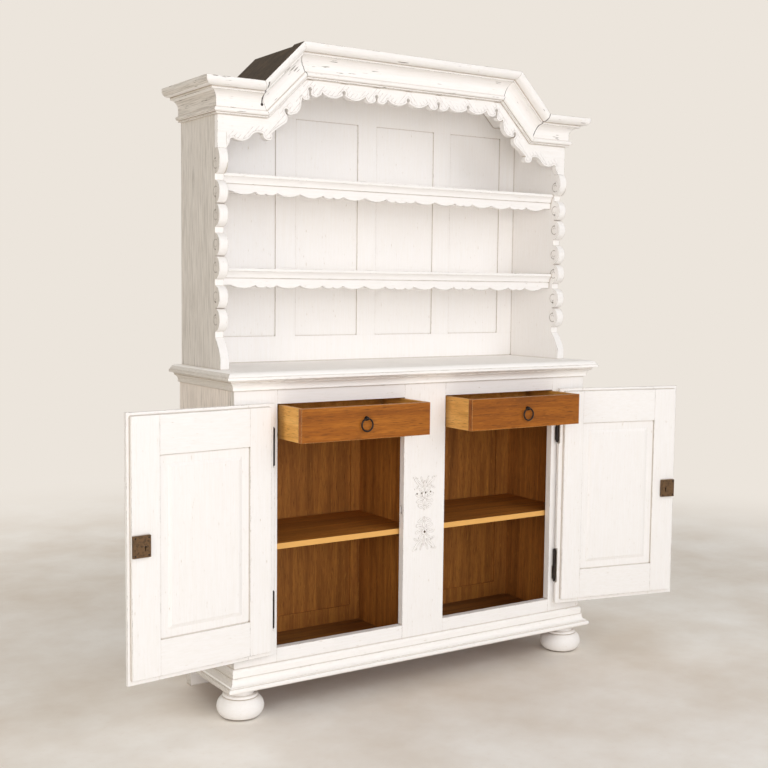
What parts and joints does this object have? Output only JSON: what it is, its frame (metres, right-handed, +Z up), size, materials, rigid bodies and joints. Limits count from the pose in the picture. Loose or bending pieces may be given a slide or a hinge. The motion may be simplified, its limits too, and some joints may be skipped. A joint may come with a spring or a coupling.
{
  "type": "hutch cupboard",
  "caption": "Painted oak hutch: a cupboard with hinged doors and inner drawers on bun feet, and an open scalloped plate rack with a stepped arched cornice above it.",
  "frame": {"origin": "on the floor, under the middle of the whole footprint with the doors and drawers as stored", "axes": "+Z up, -Y towards the person who opens the doors, +X to that person's right"},
  "size_m": [2.1036, 0.556, 2.0645],
  "materials": {
    "painted_oak": "chalky off-white milk paint over oak, rubbed through at the edges",
    "bare_oak": "warm brown bare oak, dull and dry",
    "roof_oak": "rough unpainted boards, grey-brown",
    "honey_oak": "waxed honey-coloured oak, satin",
    "black_iron": "forged iron, blackened, worn",
    "rusted_iron": "plate iron with a thin brown rust"
  },
  "bodies": {
    "cabinet": {"bun_feet": "painted_oak", "base_board": "bare_oak", "block_feet": "painted_oak", "floor_board": "bare_oak", "base_moulding": "painted_oak", "body_side_left": "painted_oak", "body_side_right": "painted_oak", "partition": "bare_oak", "outer_stiles": "painted_oak", "centre_stile": "painted_oak", "bottom_rails": "painted_oak", "top_rails": "painted_oak", "body_back_frame": "bare_oak", "body_back_panels": "bare_oak", "compartment_shelves": "bare_oak", "shelf_cleats": "bare_oak", "drawer_runners": "bare_oak", "drawer_kickers": "bare_oak", "counter_edge": "painted_oak", "counter_board": "painted_oak", "bed_moulding": "painted_oak", "hutch_shelf_lower": "painted_oak", "apron_lower": "painted_oak", "hutch_shelf_upper": "painted_oak", "apron_upper": "painted_oak", "hutch_side_left": "painted_oak", "hutch_side_right": "painted_oak", "hutch_back_panels": "painted_oak", "hutch_back_frame": "painted_oak", "arch_fascia": "painted_oak", "cornice_returns": "painted_oak", "cornice_flats": "painted_oak", "cornice_slopes": "painted_oak", "cornice_crest": "painted_oak", "roof_boards": "roof_oak", "hinge_frame_leaves": "black_iron", "hinge_pins": "black_iron"},
    "left_door": {"left_door_stiles": "painted_oak", "left_door_rails": "painted_oak", "left_door_panel": "painted_oak", "left_hinge_leaves": "black_iron", "left_lock_case": "rusted_iron", "left_escutcheon": "black_iron"},
    "left_lock": {"left_lock_bolt": "rusted_iron"},
    "left_drawer": {"left_drawer_front": "honey_oak", "left_drawer_box": "honey_oak", "left_pull_post": "black_iron"},
    "left_ring": {"left_pull_ring": "black_iron"},
    "right_door": {"right_door_stiles": "painted_oak", "right_door_rails": "painted_oak", "right_door_panel": "painted_oak", "right_hinge_leaves": "black_iron", "right_lock_case": "rusted_iron", "right_escutcheon": "black_iron"},
    "right_lock": {"right_lock_bolt": "rusted_iron"},
    "right_drawer": {"right_drawer_front": "honey_oak", "right_drawer_box": "honey_oak", "right_pull_post": "black_iron"},
    "right_ring": {"right_pull_ring": "black_iron"}
  },
  "joints": [
    {"name": "left_door_hinge", "type": "hinge", "parent": "cabinet", "child": "left_door", "pos_m": [-0.56389, -0.13, 0.6], "axis": [0, 0, -1], "range_deg": [-174.5, 5.5]},
    {"name": "right_door_hinge", "type": "hinge", "parent": "cabinet", "child": "right_door", "pos_m": [0.57211, -0.13, 0.6], "axis": [0, 0, 1], "range_deg": [-168, 12]},
    {"name": "left_drawer_slide", "type": "slide", "parent": "cabinet", "child": "left_drawer", "axis": [0, -1, 0], "range_m": [-0.2396, 0.0078]},
    {"name": "right_drawer_slide", "type": "slide", "parent": "cabinet", "child": "right_drawer", "axis": [0, -1, 0], "range_m": [-0.2391, 0.0174]},
    {"name": "left_ring_swing", "type": "hinge", "parent": "left_drawer", "child": "left_ring", "pos_m": [-0.31739, -0.272, 0.921], "axis": [-1, 0, 0], "range_deg": [-5, 80]},
    {"name": "left_lock_throw", "type": "slide", "parent": "left_door", "child": "left_lock", "axis": [-0.9954, -0.0958, 0], "range_m": [0, 0.013]},
    {"name": "right_ring_swing", "type": "hinge", "parent": "right_drawer", "child": "right_ring", "pos_m": [0.31861, -0.2715, 0.921], "axis": [-1, 0, 0], "range_deg": [-5, 80]},
    {"name": "right_lock_throw", "type": "slide", "parent": "right_door", "child": "right_lock", "axis": [0.9781, -0.2079, 0], "range_m": [0, 0.013]}
  ],
  "couplings": [
    {"joint": "left_drawer_slide", "follows": "left_door_hinge", "m_per_rad": 0.078638},
    {"joint": "right_drawer_slide", "follows": "right_door_hinge", "m_per_rad": 0.08151}
  ]
}
